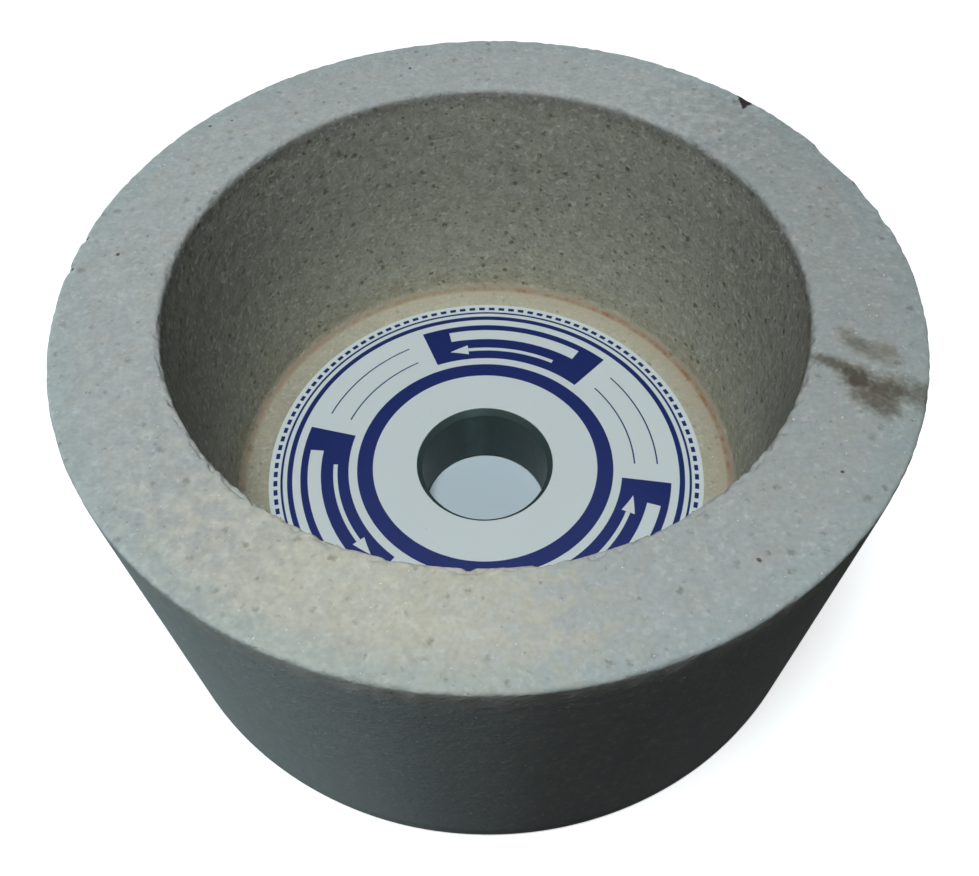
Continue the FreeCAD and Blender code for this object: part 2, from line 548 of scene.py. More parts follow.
# Notches in the two edges of the rim: their lumps, how far they reach and how deep they go.
NOTCH_SIZE, NOTCH_CHANNEL, NOTCH_DROP = 0.85 * MM, 4, 1.1 * MM
INNER_NOTCH_REACH, INNER_NOTCH_DEPTH, FRONT_NOTCH_DEPTH = 1.2 * MM, 0.08 * MM, 0.75 * MM
OUTER_NOTCH_REACH, OUTER_NOTCH_DEPTH = 1.1 * MM, 0.12 * MM

# Worn places on the outer edge of the rim: turn in degrees, half length and depth in millimetres.
EDGE_NICKS = (
    (23.8, 4.2, 0.46),
    (15.6, 3.0, 0.26),
    (10.4, 1.7, 0.28),
    (176.1, 0.9, 0.26),
    (169.8, 0.9, 0.24),
)


def cup_floor_radius(cup):
    """Where the leaning inner wall meets the floor."""
    return cup.radius - cup.rim_width - (cup.height - cup.floor_height) * math.tan(cup.draft)


def cup_outline(cup):
    """The section of the cup, from its hole along the back, up the outside and back through the hollow."""
    mouth = cup.radius - cup.rim_width
    corners = [
        (cup.hole_radius, 0, CUP_CORNER_ROUND, 1, 5),
        (cup.radius, 0, cup.base_round, 3, 16),
        (cup.radius, cup.height, cup.rim_outer_round, 5, 24),
        (mouth, cup.height, cup.rim_inner_round, 7, 60),
        (cup_floor_radius(cup), cup.floor_height, cup.corner_round, 4, 3),
        (cup.hole_radius, cup.floor_height, CUP_CORNER_ROUND, 1, 1),
    ]
    return rounded_outline(corners)


def near(value, target, reach):
    """1 at the target, falling smoothly to 0 at this distance from it."""
    return np.clip(1 - ((value - target) / reach) ** 2, 0, 1) ** 2


def edge_wear(cup, points):
    """How far the worn places sink the outer edge of the rim.

    Each is a hollow 1 - t^2 along the edge, so that sharp corners stay between them.
    """
    turn = np.arctan2(points[..., 1], points[..., 0])
    edge = near(np.hypot(points[..., 0], points[..., 1]), cup.radius, 1.1 * MM)
    edge = edge * near(points[..., 2], cup.height, 1.1 * MM)
    worn = np.zeros(turn.shape)
    for middle, half_length, depth in EDGE_NICKS:
        along = (turn - math.radians(middle)) * cup.radius
        worn = np.maximum(worn, np.clip(1 - (along / (half_length * MM)) ** 2, 0, 1) * depth * MM)
    return worn * edge


def cup_relief(cup, points):
    """How far each point sinks below the ideal surface, in metres.

    It is the sum of a slow waviness, lumps, grain, scattered pits and, close to the two edges
    of the rim, notches where grains have left, deepest at the front of the inner edge. Below its
    edge the outer wall has the waviness alone, and under the label and in the hole it is nothing.
    """
    radius = np.hypot(points[..., 0], points[..., 1])
    height = points[..., 2]
    mouth = cup.radius - cup.rim_width
    inside = (radius < mouth + 0.5 * MM) & (height > cup.floor_height - 0.5 * MM)
    on_rim = height > cup.height - 0.1 * MM
    on_side = (radius > cup.radius - 0.2 * MM) & (height < cup.height - 0.7 * MM)
    wall_pits = pits(points, *WALL_PITS) * WALL_PIT_DEPTH
    rim_pits = pits(points, *RIM_PITS) * RIM_PIT_DEPTH
    fine = lumps(points, *CUP_LUMPS) + lumps(points, *CUP_GRAIN)
    fine = fine + np.where(inside & ~on_rim, wall_pits, rim_pits)
    relief = lumps(points, *CUP_WAVE) + np.where(on_side, 0, fine)
    notch = np.clip(soft_noise(points, NOTCH_SIZE, NOTCH_CHANNEL) * 2.4 - 0.9, 0, 1)
    notch = notch * near(height, cup.height, NOTCH_DROP)
    front = 0.5 - 0.5 * points[..., 1] / radius
    inner_depth = INNER_NOTCH_DEPTH + FRONT_NOTCH_DEPTH * front**2
    relief = relief + notch * near(radius, mouth, INNER_NOTCH_REACH) * inner_depth
    relief = relief + notch * near(radius, cup.radius, OUTER_NOTCH_REACH) * OUTER_NOTCH_DEPTH
    relief = relief + edge_wear(cup, points)
    relief = relief * (1 - 0.7 * near(height, 0, 0.4 * MM))
    covered = (height < cup.floor_height + 0.1 * MM) & (radius < LABEL_HIGH[0] + 0.2 * MM)
    hidden = (radius < cup.hole_radius + 0.2 * MM) | (covered & (height > cup.floor_height - 1 * MM))
    return np.where(hidden, 0, relief)


def chip_centre(cup):
    """The middle of the ball that the chip follows."""
    out = cup.radius - cup.chip_inset
    x, y = out * math.cos(cup.chip_turn), out * math.sin(cup.chip_turn)
    return np.array([x, y, cup.height + cup.chip_rise])


def chip_depth(cup, points, normals):
    """How far a ball over the edge of the rim bites into each point, along its normal.

    For a point at p from the ball's centre with the normal n, the line down the normal leaves
    the ball at p.n + sqrt(r^2 - p.p + (p.n)^2).
    """
    away = points - chip_centre(cup)
    outward = np.sum(away * normals, axis=-1)
    inside = cup.chip_radius**2 - np.sum(away * away, axis=-1)
    return np.where(inside > 0, outward + np.sqrt(np.maximum(inside + outward**2, 0)), 0)


def cup_surface(cup):
    """The points of the cup: the turned section, each sunk along its normal by relief and chip."""
    outline = cup_outline(cup)
    points = turned(outline, cup.columns)
    normals = turned(outline_normals(outline), cup.columns)
    sunk = np.maximum(cup_relief(cup, points), chip_depth(cup, points, normals))
    return points - normals * sunk[..., None]


# Stains on the rim: x, y, half length, half width in millimetres, turn in degrees and strength.
RIM_STAINS = (
    (38.3, -14.0, 2.9, 0.9, -28, 0.85),
    (40.5, -16.2, 2.8, 1.6, -42, 1.0),
    (43.0, -17.7, 3.6, 2.0, -14, 0.90),
    (41.4, -19.2, 2.8, 1.6, -35, 0.85),
    (47.0, -18.8, 4.8, 1.9, -10, 0.75),
    (41.3, -10.9, 2.1, 1.1, -50, 0.70),
    (43.3, -12.4, 2.8, 1.4, -25, 0.60),
)

# Dark specks on the rim: x, y and radius in millimetres.
RIM_SPECKS = (
    (-44.8, 5.7, 0.28),
    (-37.4, 31.1, 0.25),
    (-34.5, 32.3, 0.22),
    (-9.9, 43.7, 0.25),
    (35.8, -28.1, 0.22),
    (25.7, -37.9, 0.30),
    (44.6, 23.8, 0.40),
    (47.9, 15.9, 0.40),
    (49.6, 10.7, 0.35),
    (-50.1, 3.4, 0.35),
    (-49.5, 8.9, 0.30),
)

# Colours laid over the cup's own, and tints that are multiplied into them.
OUTER_BAND_TINT = (0.94, 1.0, 1.01, 1.0)
# Painted shade under the rim, at the top of the inner wall.
WALL_TOP_SHADE = (0.74, 0.71, 0.74, 1.0)
COOL_TINT, WARM_TINT = (0.985, 1.0, 1.01, 1.0), (1.01, 1.0, 0.97, 1.0)
SIDE_TOP_COLOUR = (0.355, 0.345, 0.31, 1.0)
LIGHT_GRAIN_COLOUR = (0.94, 0.96, 0.93, 1.0)
# Painted glints: white spots in the colour.
PAINTED_GLINT_COLOUR = (0.96, 0.97, 0.95, 1.0)
STAIN_EDGE_COLOUR = (0.17, 0.16, 0.098, 1.0)
SPECK_COLOUR = (0.05, 0.04, 0.035, 1.0)
# Painted shade in the chip.
CHIP_SHADE_COLOUR = (0.035, 0.018, 0.018, 1.0)

# How much darker or lighter parts of the cup are by their turn, as a share.
# Painted shade on the right of the rim.
RIM_RIGHT_SHADE = 0.18
# Painted light and shade on the inner wall, by turn.
WALL_SHADE = 0.13
SIDE_LIGHTER, SIDE_DARKER = 0.14, 0.16

# Sizes of the lumps in the grain, and of the cells that hold the pores.
BLOTCH_SIZE, HUE_SIZE, FINE_SIZE = 1.6 * MM, 2.4 * MM, 0.55 * MM
GLINT_SIZE, LIGHT_GRAIN_SIZE = 0.42 * MM, 0.8 * MM
PORE_SPACING, PORE_REACH = 1.8 * MM, 0.65 * MM
SMALL_PORE_SPACING, SMALL_PORE_REACH = 0.9 * MM, 0.34 * MM
WANDER_SIZE, WANDER_REACH = 0.5 * MM, 0.9 * MM

# The painted shade in the chip: its three corners on the rim, x and y in millimetres.
CHIP_MARK = ((36.19, 35.52), (38.37, 33.46), (36.40, 31.78))


def window(turn, start, full, end, gone):
    """1 between two turns in degrees, with a smooth step before and after."""
    start, full, end, gone = (math.radians(degrees) for degrees in (start, full, end, gone))
    return turn.rise(start, full) * turn.fall(end, gone)


def strongest(masks):
    """The largest of several masks at each point."""
    total = masks[0]
    for mask in masks[1:]:
        total = total.math("MAXIMUM", mask)
    return total


def stain_mask(x, y, ragged):
    """The stains as ellipses with ragged soft edges."""
    masks = []
    for centre_x, centre_y, half_length, half_width, turn, strength in RIM_STAINS:
        cosine, sine = math.cos(math.radians(turn)), math.sin(math.radians(turn))
        across_x = x - centre_x * MM
        across_y = y - centre_y * MM
        along = (across_x * cosine + across_y * sine) / (half_length * MM)
        across = (across_y * cosine - across_x * sine) / (half_width * MM)
        masks.append((along * along + across * across + ragged).fall(-0.2, 2.2) * strength)
    return strongest(masks)


def speck_mask(x, y, ragged):
    """The dark specks as small ragged discs."""
    masks = []
    for centre_x, centre_y, radius in RIM_SPECKS:
        across_x = x - centre_x * MM
        across_y = y - centre_y * MM
        distance = (across_x * across_x + across_y * across_y).math("SQRT") / (radius * MM)
        masks.append((distance + ragged).fall(0.6, 1.1))
    return strongest(masks)


def chip_mark(x, y, ragged):
    """The chip's three-cornered painted shade, from the least of the distances inside its sides."""
    sides = []
    for number, (start_x, start_y) in enumerate(CHIP_MARK):
        end_x, end_y = CHIP_MARK[number - 1]
        length = math.hypot(end_x - start_x, end_y - start_y)
        across_x, across_y = (start_y - end_y) / length, (end_x - start_x) / length
        sides.append((x - start_x * MM) * across_x + (y - start_y * MM) * across_y)
    least = sides[0].math("MINIMUM", sides[1]).math("MINIMUM", sides[2])
    return (least + ragged).rise(-0.15 * MM, 0.2 * MM)


def pore_mask(finish, warped, spacing, share, reach):
    """Scattered soft pores of uneven depth, in a share of the cells."""
    distance, chance, size = finish.cells(warped, spacing)
    own_reach = (size * 0.6 + 0.4) * reach
    return (distance / own_reach).fall(0.1, 1.1) * (share - chance).rise(0.0, 0.4)


def corner_ring(cup, radius, z, angle, blotches, fine):
    """The stained line where the floor meets the wall, strongest on one side and fading inwards."""
    facing = (angle - math.radians(25)).math("COSINE") * 0.5 + 0.5
    corner = cup_floor_radius(cup) - 0.5 * MM
    line = (radius - corner).math("ABSOLUTE").fall(0.0, 0.7 * MM)
    haze = radius.rise(corner - 3.5 * MM, corner) * radius.fall(corner, corner + 0.8 * MM) * facing * 0.35
    ring = line.math("MAXIMUM", haze) * z.fall(13.3 * MM, 15.0 * MM)
    ring = ring * z.rise(cup.floor_height / 2, cup.floor_height) * (0.45 + facing * 0.55)
    return ring * (0.3 + blotches * 0.5 + fine * 0.3)


def cup_base_colour(finish, cup, on_rim, radius, z, angle, blotches):
    """The large fields of colour: rim, walls and floor.

    The rim is paler and creamier at the front, partly its grain and partly painted light, and has
    painted shade at the right. The inner wall has painted shade, darker towards the top with a dim
    band under the rim, and painted light and shade by turn: paler at the back and darker at the left.
    The outer side changes across the front.
    """
    mouth = cup.radius - cup.rim_width
    inside_floor = z.rise(cup.floor_height / 2, cup.floor_height)
    on_wall = radius.fall(mouth + 0.2 * MM, mouth + 0.8 * MM) * inside_floor * (1 - on_rim)
    on_side = radius.rise(cup.radius - 0.6 * MM, cup.radius - 0.3 * MM) * (1 - on_rim)
    turn = angle + (blotches - 0.5) * math.radians(16)
    # Partly a creamier grain and partly painted light: the front of the rim is paler.
    cream_and_lit_front = window(turn, -150, -112, -92, -72)
    # Painted shade: the right of the rim is darker.
    shaded_right = window(turn, -90, 0, 30, 60)
    outer_band = radius.rise(cup.radius - 5 * MM, cup.radius - 1 * MM)
    rim = finish.mix(cream_and_lit_front * (1 - outer_band * 0.5), opaque(cup.dusty_colour), opaque(cup.colour))
    rim = finish.mix(outer_band, rim, OUTER_BAND_TINT, "MULTIPLY")
    rim = finish.shaded(rim, 1 - shaded_right * RIM_RIGHT_SHADE)
    # Painted shade: the inner wall darkens towards the top.
    wall = finish.mix(z.rise(14 * MM, 40 * MM), opaque(cup.low_wall_colour), opaque(cup.wall_colour))
    above_floor = z.rise(cup.floor_height + 0.4 * MM, cup.floor_height + 1.4 * MM)
    wall = finish.mix(above_floor, opaque(cup.floor_colour), wall)
    # Painted shade: a dim band at the top of the inner wall, under the rim.
    top_shade = z.rise(cup.height - 3.5 * MM, cup.height - 0.7 * MM)
    wall = finish.mix(top_shade, wall, WALL_TOP_SHADE, "MULTIPLY")
    # Painted light and shade: the inner wall is paler at the back and darker at the left.
    back = angle.math("SINE").rise(0.2, 1.0)
    left = (angle - math.radians(185)).math("COSINE").rise(0.1, 1.0)
    wall = finish.shaded(wall, 1 + back * WALL_SHADE - left * WALL_SHADE)
    base = finish.mix(on_wall, rim, wall)
    under_rim = z.rise(cup.height - 5.0 * MM, cup.height - 0.8 * MM)
    side = finish.mix(under_rim, opaque(cup.side_colour), SIDE_TOP_COLOUR)
    lighter = window(angle, -132, -108, -106, -94)
    darker = window(angle, -90, -82, -74, -60)
    side = finish.shaded(side, 1 + lighter * SIDE_LIGHTER - darker * SIDE_DARKER)
    return finish.mix(on_side, base, side), on_wall * above_floor, on_side


def abrasive_finish(cup):
    """White fired grain: mottled and porous, with its stains, painted glints and painted shade in its pores
    and chip.
    """
    finish = Finish("white_abrasive")
    place = finish.place()
    x, y, z = finish.parts_of(place)
    radius = (x * x + y * y).math("SQRT")
    angle = y.math("ARCTAN2", x)
    on_rim = z.rise(cup.height - 1.5 * MM, cup.height - 0.25 * MM)

    blotches = finish.noise(place, BLOTCH_SIZE, 2.0).rise(0.3, 0.7)
    hue = finish.noise(place, HUE_SIZE, 2.0).rise(0.3, 0.7)
    fine = finish.noise(place, FINE_SIZE, 1.0).rise(0.3, 0.7)
    glints = finish.noise(finish.shifted(place, 0.67), GLINT_SIZE, 1.0)
    base, on_wall, on_side = cup_base_colour(finish, cup, on_rim, radius, z, angle, blotches)
    wander = finish.node("ShaderNodeTexNoise", {}, {"Vector": place, "Scale": 1 / WANDER_SIZE}, "Color")
    warped = finish.node(
        "ShaderNodeVectorMath", {"operation": "MULTIPLY_ADD"}, {0: wander, 1: (WANDER_REACH,) * 3, 2: place}
    )
    pores = pore_mask(finish, warped, PORE_SPACING, 0.7 + on_wall * 0.2 - on_side * 0.4, PORE_REACH)
    small_pores = pore_mask(finish, warped, SMALL_PORE_SPACING, 0.5 + on_wall * 0.2, SMALL_PORE_REACH)
    light_grains = finish.noise(place, LIGHT_GRAIN_SIZE, 1.0).rise(0.58, 0.75)
    # Spots of the grain that are glossier and also painted white as glints.
    shiny_painted_glints = (glints + on_side * 0.01).rise(0.735, 0.78)

    tint = finish.mix(hue, COOL_TINT, WARM_TINT)
    base = finish.mix(1.0, base, tint, "MULTIPLY")
    grain = (blotches - 0.5) * 0.10 + (fine - 0.5) * 0.10
    colour = finish.shaded(base, 1 + grain * (1 + on_wall * 0.9 - on_side * 0.4))
    # Painted shade: the pores are darkened in colour as well as sunk by the bump.
    colour = finish.mix(pores * (0.5 + on_wall * 0.35), colour, opaque(cup.pore_shade_colour))
    colour = finish.mix(small_pores * (0.3 + on_wall * 0.35), colour, opaque(cup.pore_shade_colour))
    colour = finish.mix(light_grains * (0.12 + on_wall * 0.12), colour, LIGHT_GRAIN_COLOUR)
    # Painted glints: white spots that stand for the sparkle of the crystals.
    colour = finish.mix(shiny_painted_glints * (0.6 - on_side * 0.15), colour, PAINTED_GLINT_COLOUR)

    ragged = (blotches - 0.5) * 0.6 + (fine - 0.5) * 0.35
    near_rim = z.rise(cup.height - 1.0 * MM, cup.height - 0.6 * MM)
    stains = stain_mask(x, y, ragged) * near_rim
    stain = finish.mix(stains.rise(0.35, 0.95), STAIN_EDGE_COLOUR, opaque(cup.stain_colour))
    colour = finish.mix(stains * 0.9, colour, stain)
    specks = speck_mask(x, y, (fine - 0.5) * 0.4) * near_rim
    colour = finish.mix(specks * 0.8, colour, SPECK_COLOUR)
    # Painted shade in the chip's hollow.
    chip = chip_mark(x, y, (fine - 0.5) * 0.2 * MM) * near_rim
    colour = finish.mix(chip * 0.95, colour, CHIP_SHADE_COLOUR)
    ring = corner_ring(cup, radius, z, angle, blotches, fine)
    colour = finish.mix(ring, colour, opaque(cup.rust_colour))

    height = blotches * 0.03 * MM + fine * 0.02 * MM + light_grains * 0.02 * MM
    height = height - pores * 0.08 * MM - small_pores * 0.05 * MM
    height = height * (1 - on_side * 0.5 - on_wall * 0.2)
    return finish.close(
        {
            "Base Color": colour,
            "Roughness": 0.85 - shiny_painted_glints * 0.5,
            "Specular IOR Level": 0.02,
            "Normal": finish.bumped(height),
        }
    )


# Bore bush

BUSH_WAVE = (4 * MM, 0.03 * MM, 40)
# A painted highlight on the bore: its turn and its reach in degrees.
HIGHLIGHT_TURN, HIGHLIGHT_REACH = 99, 16
DUST_COLOUR = (0.4, 0.42, 0.42, 1.0)


def bush_outline(bush):
    """The section of the bush: back face, outside, face under the label, chamfer, bore and back chamfer."""
    outside = BUSH_HIGH[0]
    length = BUSH_HIGH[2]
    edge = bush.edge_round
    corners = [
        (bush.bore_radius + bush.back_chamfer, 0, edge, 4, 4),
        (outside, 0, edge, 4, 2),
        (outside, length, edge, 4, 4),
        (bush.bore_radius + bush.mouth_chamfer, length, edge, 6, 3),
        (bush.bore_radius, length - bush.mouth_chamfer, edge, 6, 16),
        (bush.bore_radius, bush.back_chamfer, edge, 4, 3),
    ]
    return rounded_outline(corners)


def bush_surface(bush):
    """The points of the bush: the turned section with a slight waviness of its cast bore."""
    outline = bush_outline(bush)
    points = turned(outline, bush.columns)
    normals = turned(outline_normals(outline), bush.columns)
    in_bore = np.hypot(points[..., 0], points[..., 1]) < bush.bore_radius + bush.mouth_chamfer
    return points - normals * np.where(in_bore, lumps(points, *BUSH_WAVE), 0)[..., None]


def bush_finish(bush):
    """Dark cast bush: satin, smeared and a little dusty, with a painted highlight at the back of the bore and
    painted shade on its mouth chamfer.
    """
    finish = Finish("dark_bush")
    place = finish.place()
    clouds = finish.noise(place, 3 * MM, 3.0)
    smears = finish.noise(finish.stretched(place, (1.0, 1.0, 0.25)), 0.7 * MM, 2.0)
    dust = finish.noise(place, 0.35 * MM, 2.0).rise(0.6, 0.75)
    x, y, z = finish.parts_of(place)
    # Painted highlight: a lighter vertical streak at the back of the bore.
    off_highlight = (y.math("ARCTAN2", x) - math.radians(HIGHLIGHT_TURN)).math("ABSOLUTE")
    painted_highlight = off_highlight.fall(0.0, math.radians(HIGHLIGHT_REACH)) * smears * 1.3
    colour = finish.shaded(tuple(bush.colour), 0.75 + clouds * 0.35 + smears * 0.2 + painted_highlight)
    # Painted shade: the mouth chamfer is darkened by 0.3.
    mouth = BUSH_HIGH[2] - bush.mouth_chamfer
    colour = finish.shaded(colour, 1 - z.rise(mouth - 0.1 * MM, mouth + 0.1 * MM) * 0.3)
    colour = finish.mix(dust * 0.12, colour, DUST_COLOUR)
    height = clouds * 0.03 * MM + smears * 0.008 * MM
    return finish.close(
        {
            "Base Color": colour,
            "Roughness": 0.38 + smears * 0.2,
            "Specular IOR Level": 0.35,
            "Normal": finish.bumped(height),
        }
    )


# Paper label

# Plain rings of the print: inner and outer radius in millimetres.
PRINT_RINGS = ((17.0, 19.4), (29.2, 30.0), (30.65, 31.0))

# Navy panels between the rings: middle and half width in degrees.
PRINT_PANELS = ((78, 33), (198, 33), (318, 33))
PANEL_INNER, PANEL_OUTER = 20.7, 28.0
PLATE_INNER, PLATE_OUTER, PLATE_HALF = 24.9, 26.9, 24
ARROW_RADIUS, ARROW_HALF_WIDTH, ARROW_HALF, ARROW_HEAD, ARROW_HEAD_HALF = 22.7, 0.32, 18, 3.0, 1.0
RULE_MIDDLES, RULE_HALF, RULE_RADII, RULE_HALF_WIDTH = (18, 138, 258), 20, (22.6, 26.0), 0.11
TICK_PITCH, TICK_HALF, TICK_INNER, TICK_OUTER = 3.0, 0.9, 31.45, 32.05
PRINT_SOFTNESS = 0.04 * MM
FLECK_COLOUR = (0.35, 0.33, 0.28, 1.0)

# Waves of the glued paper: their size, depth and channel.
GLUE_WAVE, PAPER_WAVE = (6 * MM, 0.07 * MM, 50), (2 * MM, 0.02 * MM, 51)


def label_outline(label):
    """The section of the label: underside, cut edge, printed face and hole."""
    low, high = LABEL_LOW[2], LABEL_HIGH[2]
    edge = label.edge_round
    corners = [
        (label.hole_radius, low, edge, 3, 6),
        (LABEL_HIGH[0], low, edge, 3, 2),
        (LABEL_HIGH[0], high, edge, 5, 44),
        (label.hole_radius, high, edge, 5, 2),
    ]
    return rounded_outline(corners)


def label_surface(label):
    """The points of the label: the turned section, its printed face sunk by the glue's slow waves."""
    points = turned(label_outline(label), label.columns)
    upper = points[..., 2] > (LABEL_LOW[2] + LABEL_HIGH[2]) / 2
    sunk = lumps(points, *GLUE_WAVE) + lumps(points, *PAPER_WAVE)
    points[..., 2] -= np.where(upper, sunk, 0)
    return points


class Print:
    """Masks for flat shapes printed on the label, worked out from radius and angle."""

    def __init__(self, radius, angle):
        self.radius = radius
        self.angle = angle

    def band(self, inner, outer):
        """A ring between two radii in millimetres."""
        inside = self.radius.rise(inner * MM - PRINT_SOFTNESS, inner * MM + PRINT_SOFTNESS)
        return inside * self.radius.fall(outer * MM - PRINT_SOFTNESS, outer * MM + PRINT_SOFTNESS)

    def off_line(self, middle):
        """The distance along the arc from a line at this angle in degrees, in metres, with its sign."""
        turn = (self.angle - math.radians(middle)).math("WRAP", math.pi, -math.pi)
        return turn * self.radius

    def sector(self, middle, half):
        """The part of a ring within so many degrees of a middle line."""
        reach = self.radius * math.radians(half)
        return (reach - self.off_line(middle).math("ABSOLUTE")).rise(-PRINT_SOFTNESS, PRINT_SOFTNESS)

    def ticks(self, pitch, half):
        """Equal marks around the circle."""
        turn = self.angle.math("WRAP", math.radians(pitch) / 2, -math.radians(pitch) / 2)
        reach = self.radius * math.radians(half)
        return (reach - (turn * self.radius).math("ABSOLUTE")).rise(-PRINT_SOFTNESS, PRINT_SOFTNESS)

    def arrow(self, middle):
        """A curved arrow that points against the clock: a shaft and a head that narrows to its tip."""
        shaft = self.band(ARROW_RADIUS - ARROW_HALF_WIDTH, ARROW_RADIUS + ARROW_HALF_WIDTH)
        shaft = shaft * self.sector(middle, ARROW_HALF)
        along = self.off_line(middle + ARROW_HALF)
        off_centre = (self.radius - ARROW_RADIUS * MM).math("ABSOLUTE")
        width = (ARROW_HEAD * MM - along) * (ARROW_HEAD_HALF / ARROW_HEAD)
        head = (width - off_centre).rise(-PRINT_SOFTNESS, PRINT_SOFTNESS) * along.rise(0, PRINT_SOFTNESS)
        return shaft.math("MAXIMUM", head)


def label_print(radius, angle):
    """Where the navy ink lies: rings, panels with a bare plate and an arrow, ruled lines and ticks."""
    shapes = Print(radius, angle)
    ink = shapes.band(TICK_INNER, TICK_OUTER) * shapes.ticks(TICK_PITCH, TICK_HALF)
    for inner, outer in PRINT_RINGS:
        ink = ink.math("MAXIMUM", shapes.band(inner, outer))
    for middle, half in PRINT_PANELS:
        plate = shapes.band(PLATE_INNER, PLATE_OUTER) * shapes.sector(middle, PLATE_HALF)
        bare = plate.math("MAXIMUM", shapes.arrow(middle))
        panel = shapes.band(PANEL_INNER, PANEL_OUTER) * shapes.sector(middle, half)
        ink = ink.math("MAXIMUM", panel * (1 - bare))
    for middle in RULE_MIDDLES:
        for rule in RULE_RADII:
            line = shapes.band(rule - RULE_HALF_WIDTH, rule + RULE_HALF_WIDTH)
            ink = ink.math("MAXIMUM", line * shapes.sector(middle, RULE_HALF))
    return ink


def label_finish(label):
    """Coated paper with navy print, faintly mottled."""
    finish = Finish("printed_paper")
    place = finish.place()
    x, y, _ = finish.parts_of(place)
    radius = (x * x + y * y).math("SQRT")
    ink = label_print(radius, y.math("ARCTAN2", x))
    clouds = finish.noise(place, 9 * MM, 3.0)
    fibres = finish.noise(place, 0.3 * MM, 3.0, 0.6)
    specks = finish.noise(place, 0.8 * MM, 2.0).rise(0.72, 0.80)
    paper = finish.shaded(tuple(label.paper_colour), 0.97 + clouds * 0.05 + (fibres - 0.5) * 0.03)
    paper = finish.mix(specks * 0.25, paper, FLECK_COLOUR)
    navy = finish.shaded(tuple(label.ink_colour), 0.9 + fibres * 0.2)
    return finish.close(
        {
            "Base Color": finish.mix(ink, paper, navy),
            "Roughness": 0.55 - ink * 0.12,
            "Specular IOR Level": 0.25,
            "Normal": finish.bumped(fibres * 0.008 * MM),
        }
    )


# Stage

WHITE = (1.0, 1.0, 1.0, 1.0)
FLOOR_GLOW = 0.66
SHADED_FLOOR, FLOOR_DUST = (0.61, 0.70, 0.77, 1.0), (0.33, 0.35, 0.37, 1.0)
FLOOR_THROW = (0.03, 0.034, 0.037, 1.0)
FILL_COLOUR = (0.90, 1.0, 1.04, 1.0)
LAMP_AIM = 30 * MM
LAMP_DISTANCE = 400 * MM
KEY_TURN, KEY_LIFT, KEY_SIZE, KEY_COLOUR = 249.4, 77.7, 100 * MM, (0.92, 1.0, 1.01)
CARD_WIDTH, CARD_HEIGHT = 150 * MM, 50 * MM
CARD_LAMPS = ((190, (0.75, 0.97, 1.08)), (120, (0.96, 1.0, 1.0)), (50, (0.96, 1.0, 1.0)))


def floor_mesh(stage):
    """A flat square, on a grid of two by two points."""
    half = stage.floor_size / 2
    side = np.array([-half, half])
    x, y = np.meshgrid(side, side)
    points = np.stack([x, y, np.zeros_like(x)], axis=-1).reshape(-1, 3)
    mesh = bpy.data.meshes.new("studio_floor")
    mesh.from_pydata(points, [], [(0, 1, 3, 2)])
    mesh.update()
    return mesh


def seen_directly(finish):
    """1 for rays from the camera, and for those that a gloss or glass has turned."""
    rays = finish.node("ShaderNodeLightPath", {}, {}, "Is Camera Ray")
    outputs = rays.socket.node.outputs
    glossy = Flow(finish, outputs["Is Glossy Ray"])
    through = Flow(finish, outputs["Is Transmission Ray"])
    return rays.math("MAXIMUM", glossy).math("MAXIMUM", through)


def floor_finish(stage):
    """Pale floor that keeps shadows: it glows to the camera and throws little light on the wheel.

    Under the wheel it is bluish paper without the glow, which shows through the bore.
    """
    finish = Finish("pale_floor")
    place = finish.place()
    x, y, _ = finish.parts_of(place)
    clear = (x * x + y * y).math("SQRT").rise(30 * MM, 50 * MM)
    dust = finish.noise(place, 1.2 * MM, 2.0).rise(0.70, 0.76)
    paper = finish.mix(dust * 0.15, SHADED_FLOOR, FLOOR_DUST)
    shown = finish.node(
        "ShaderNodeBsdfDiffuse", {}, {"Color": finish.mix(clear, paper, opaque(stage.floor_colour))}
    )
    glow = finish.node("ShaderNodeEmission", {}, {"Color": WHITE, "Strength": clear * FLOOR_GLOW})
    shown = finish.node("ShaderNodeAddShader", {}, {0: shown, 1: glow})
    thrown = finish.node("ShaderNodeBsdfDiffuse", {}, {"Color": FLOOR_THROW})
    surface = finish.node("ShaderNodeMixShader", {}, {0: seen_directly(finish), 1: thrown, 2: shown})
    finish.node("ShaderNodeOutputMaterial", {}, {"Surface": surface})
    return finish.material


class Surroundings(Finish):
    """The world, with its nodes."""

    def __init__(self, world):
        world.use_nodes = True
        self.tree = world.node_tree
        self.tree.nodes.clear()


def light_world(stage):
    """White to the camera, and a weak even light on the object."""
    world = bpy.data.worlds.new("studio")
    bpy.context.scene.world = world
    finish = Surroundings(world)
    shown = finish.node("ShaderNodeBackground", {}, {"Color": WHITE, "Strength": 1.0})
    thrown = finish.node("ShaderNodeBackground", {}, {"Color": FILL_COLOUR, "Strength": stage.fill_strength})
    surface = finish.node("ShaderNodeMixShader", {}, {0: seen_directly(finish), 1: thrown, 2: shown})
    finish.node("ShaderNodeOutputWorld", {}, {"Surface": surface})


def add_lamp(name, turn, lift, width, height, power, colour):
    """A soft lamp at a turn and a lift in degrees that faces the wheel and stays out of sight."""
    turn, lift = math.radians(turn), math.radians(lift)
    away = Vector((math.cos(lift) * math.cos(turn), math.cos(lift) * math.sin(turn), math.sin(lift)))
    lamp = bpy.data.lights.new(name, "AREA")
    lamp.shape = "RECTANGLE" if height != width else "DISK"
    lamp.size = width
    lamp.size_y = height
    lamp.energy = power
    lamp.color = colour
    holder = bpy.data.objects.new(name, lamp)
    holder.location = away * LAMP_DISTANCE + Vector((0, 0, LAMP_AIM))
    holder.rotation_euler = (-away).to_track_quat("-Z", "Y").to_euler()
    holder.visible_camera = False
    bpy.context.scene.collection.objects.link(holder)


